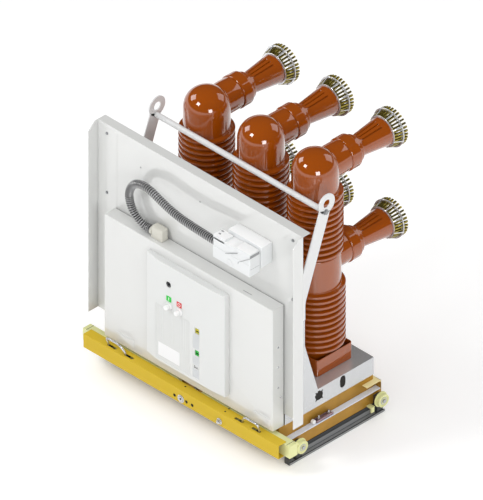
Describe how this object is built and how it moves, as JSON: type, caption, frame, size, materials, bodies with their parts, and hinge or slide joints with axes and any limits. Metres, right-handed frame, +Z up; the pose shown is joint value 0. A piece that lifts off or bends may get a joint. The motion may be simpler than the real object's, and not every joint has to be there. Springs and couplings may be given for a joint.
{
  "type": "indoor vacuum circuit breaker",
  "caption": "Withdrawable indoor vacuum circuit breaker with ribbed epoxy poles, finger contacts, white front panel and a racking truck.",
  "frame": {"origin": "middle of the base, at the underside of the side rails", "axes": "+X to the right across the poles, +Y to the rear along the contact arms, +Z up; the front panel faces -Y"},
  "size_m": [0.802, 0.6246, 0.858],
  "materials": {
    "epoxy": "glossy cast epoxy",
    "white_paint": "satin powder coat",
    "housing_paint": "satin zinc and clear coat",
    "fascia_plastic": "fine matt moulded",
    "white_plastic": "satin moulded",
    "yellow_paint": "gloss paint",
    "zinc_gold": "yellow chromate zinc",
    "cream_zinc": "pale yellow zinc",
    "bright_steel": "bright zinc",
    "dark_steel": "dark phosphate",
    "purple_zinc": "iridescent zinc",
    "silvered_copper": "silver plate",
    "conduit_plastic": "corrugated matt",
    "gland_plastic": "satin moulded",
    "green_plastic": "gloss",
    "red_plastic": "gloss",
    "flag_yellow": "matt",
    "ceramic": "white glazed ceramic",
    "rod_plastic": "machined glass-fibre laminate",
    "motor_grey": "matt paint"
  },
  "bodies": {
    "breaker": {"truck_body": "zinc_gold", "screw_nut": "bright_steel", "slide_bar_left": "bright_steel", "slide_bar_right": "bright_steel", "interlock_lever": "cream_zinc", "rail_left": "dark_steel", "rail_right": "dark_steel", "closing_spring": "dark_steel", "roller_bracket_left": "purple_zinc", "roller_bracket_right": "purple_zinc", "front_panel": "white_paint", "front_cover": "white_paint", "lifting_bar_left": "white_paint", "lifting_bar_right": "white_paint", "lifting_rod": "white_paint", "housing": "housing_paint", "fascia": "fascia_plastic", "plug_socket": "white_plastic", "plug_hood": "white_plastic", "conduit": "conduit_plastic", "cable_elbow": "gland_plastic", "charging_motor": "motor_grey", "pole_left": "epoxy", "interrupter_left": "ceramic", "sleeve_left_upper": "epoxy", "contact_left_upper": "silvered_copper", "sleeve_left_lower": "epoxy", "contact_left_lower": "silvered_copper", "pole_middle": "epoxy", "interrupter_middle": "ceramic", "sleeve_middle_upper": "epoxy", "contact_middle_upper": "silvered_copper", "sleeve_middle_lower": "epoxy", "contact_middle_lower": "silvered_copper", "pole_right": "epoxy", "interrupter_right": "ceramic", "sleeve_right_upper": "epoxy", "contact_right_upper": "silvered_copper", "sleeve_right_lower": "epoxy", "contact_right_lower": "silvered_copper"},
    "beam": {"beam": "yellow_paint", "earthing_stud": "bright_steel"},
    "lead_screw": {"lead_screw": "bright_steel"},
    "tongue_left": {"tongue_left": "cream_zinc", "handle_left": "bright_steel"},
    "tongue_right": {"tongue_right": "cream_zinc", "handle_right": "bright_steel"},
    "wheel_front_left": {"wheel_front_left": "cream_zinc"},
    "wheel_front_right": {"wheel_front_right": "cream_zinc"},
    "wheel_rear_left": {"wheel_rear_left": "cream_zinc"},
    "wheel_rear_right": {"wheel_rear_right": "cream_zinc"},
    "close_button": {"close_button": "green_plastic"},
    "open_button": {"open_button": "red_plastic"},
    "charging_shaft": {"charging_shaft": "dark_steel"},
    "spring_flag": {"spring_flag": "green_plastic"},
    "state_flag": {"state_flag": "flag_yellow"},
    "main_shaft": {"main_shaft": "dark_steel"},
    "pull_rod_left": {"pull_rod_left": "rod_plastic"},
    "pull_rod_middle": {"pull_rod_middle": "rod_plastic"},
    "pull_rod_right": {"pull_rod_right": "rod_plastic"}
  },
  "joints": [
    {"name": "beam_slide", "type": "slide", "parent": "breaker", "child": "beam", "axis": [0, -1, 0], "range_m": [0, 0.2]},
    {"name": "screw_turn", "type": "hinge", "parent": "beam", "child": "lead_screw", "pos_m": [0, 0, 0.0766], "axis": [0, 1, 0], "range_deg": [0, 7201]},
    {"name": "tongue_left_slide", "type": "slide", "parent": "beam", "child": "tongue_left", "axis": [1, 0, 0], "range_m": [0, 0.024], "stiffness_N_per_m": 300, "springref_m": -0.01},
    {"name": "tongue_right_slide", "type": "slide", "parent": "beam", "child": "tongue_right", "axis": [-1, 0, 0], "range_m": [0, 0.024], "stiffness_N_per_m": 300, "springref_m": -0.01},
    {"name": "wheel_front_left_roll", "type": "hinge", "parent": "breaker", "child": "wheel_front_left", "pos_m": [-0.3646, -0.1998, 0.0475], "axis": [1, 0, 0], "continuous": true},
    {"name": "wheel_front_right_roll", "type": "hinge", "parent": "breaker", "child": "wheel_front_right", "pos_m": [0.3646, -0.1998, 0.0475], "axis": [1, 0, 0], "continuous": true},
    {"name": "wheel_rear_left_roll", "type": "hinge", "parent": "breaker", "child": "wheel_rear_left", "pos_m": [-0.3646, 0.1135, 0.0475], "axis": [1, 0, 0], "continuous": true},
    {"name": "wheel_rear_right_roll", "type": "hinge", "parent": "breaker", "child": "wheel_rear_right", "pos_m": [0.3646, 0.1135, 0.0475], "axis": [1, 0, 0], "continuous": true},
    {"name": "close_button_push", "type": "slide", "parent": "breaker", "child": "close_button", "axis": [0, 1, 0], "range_m": [0, 0.005], "stiffness_N_per_m": 400, "springref_m": -0.003},
    {"name": "open_button_push", "type": "slide", "parent": "breaker", "child": "open_button", "axis": [0, 1, 0], "range_m": [0, 0.005], "stiffness_N_per_m": 400, "springref_m": -0.003},
    {"name": "charging_turn", "type": "hinge", "parent": "breaker", "child": "charging_shaft", "pos_m": [-0.0557, -0.2413, 0.4276], "axis": [0, 1, 0], "range_deg": [0, 360]},
    {"name": "spring_flag_slide", "type": "slide", "parent": "breaker", "child": "spring_flag", "axis": [0, 0, 1], "range_m": [0, 0.0221]},
    {"name": "main_shaft_turn", "type": "hinge", "parent": "breaker", "child": "main_shaft", "pos_m": [0, -0.0263, 0.1405], "axis": [1, 0, 0], "range_deg": [0, 18]},
    {"name": "state_flag_slide", "type": "slide", "parent": "breaker", "child": "state_flag", "axis": [0, 0, 1], "range_m": [0, 0.0228]},
    {"name": "pull_rod_left_lift", "type": "slide", "parent": "breaker", "child": "pull_rod_left", "axis": [0, 0, 1], "range_m": [0, 0.0115]},
    {"name": "pull_rod_middle_lift", "type": "slide", "parent": "breaker", "child": "pull_rod_middle", "axis": [0, 0, 1], "range_m": [0, 0.0115]},
    {"name": "pull_rod_right_lift", "type": "slide", "parent": "breaker", "child": "pull_rod_right", "axis": [0, 0, 1], "range_m": [0, 0.0115]}
  ],
  "couplings": [
    {"joint": "screw_turn", "follows": "beam_slide", "rad_per_m": 628.32},
    {"joint": "spring_flag_slide", "follows": "charging_turn", "m_per_rad": 0.0035014},
    {"joint": "state_flag_slide", "follows": "main_shaft_turn", "m_per_rad": 0.070028},
    {"joint": "pull_rod_left_lift", "follows": "main_shaft_turn", "m_per_rad": 0.034856},
    {"joint": "pull_rod_middle_lift", "follows": "main_shaft_turn", "m_per_rad": 0.034856},
    {"joint": "pull_rod_right_lift", "follows": "main_shaft_turn", "m_per_rad": 0.034856}
  ]
}
